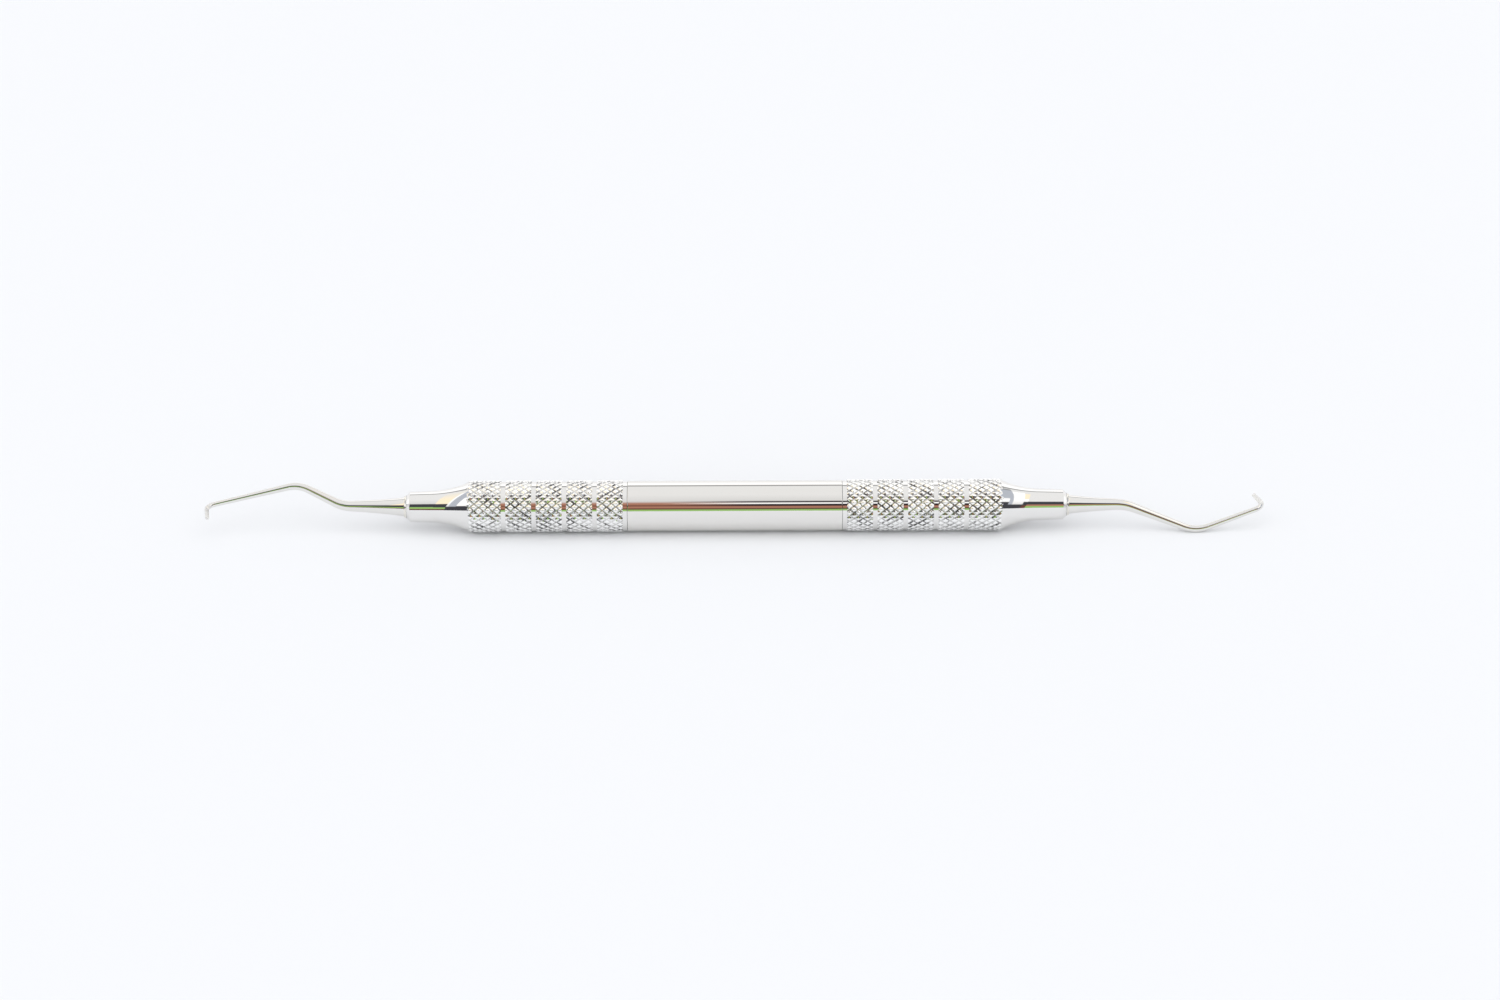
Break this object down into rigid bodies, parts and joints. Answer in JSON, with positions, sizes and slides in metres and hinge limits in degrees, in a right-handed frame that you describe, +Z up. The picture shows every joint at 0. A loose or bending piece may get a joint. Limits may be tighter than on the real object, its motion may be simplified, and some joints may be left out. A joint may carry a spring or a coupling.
{
  "type": "dental explorer",
  "caption": "Double-ended stainless dental hand instrument: hollow round handle with knurled grips, flared noses and bent, tapered, blunt curved working ends.",
  "frame": {"origin": "on the handle's axis, halfway between the two knurled grips, at the middle of the object's box", "axes": "+X along the handle towards the right working end, +Z up as the instrument lies on a table, +Y away from a viewer who has the right end at their right"},
  "size_m": [0.1678, 0.0082, 0.0082],
  "materials": {
    "polished_steel": "polished stainless steel with faint lengthwise and round-about hairlines",
    "knurled_steel": "polished stainless steel, diamond knurled on the bands and smooth on the grooves and nose",
    "silver_braze": "buffed silver braze, slightly warmer than the steel",
    "shank_steel": "polished stainless steel, duller where the blade is ground"
  },
  "bodies": {
    "root": {"centre_sleeve": "polished_steel", "left_grip": "knurled_steel", "right_grip": "knurled_steel", "left_braze_ring": "silver_braze", "right_braze_ring": "silver_braze", "left_working_end": "shank_steel", "right_working_end": "shank_steel"}
  },
  "joints": []
}
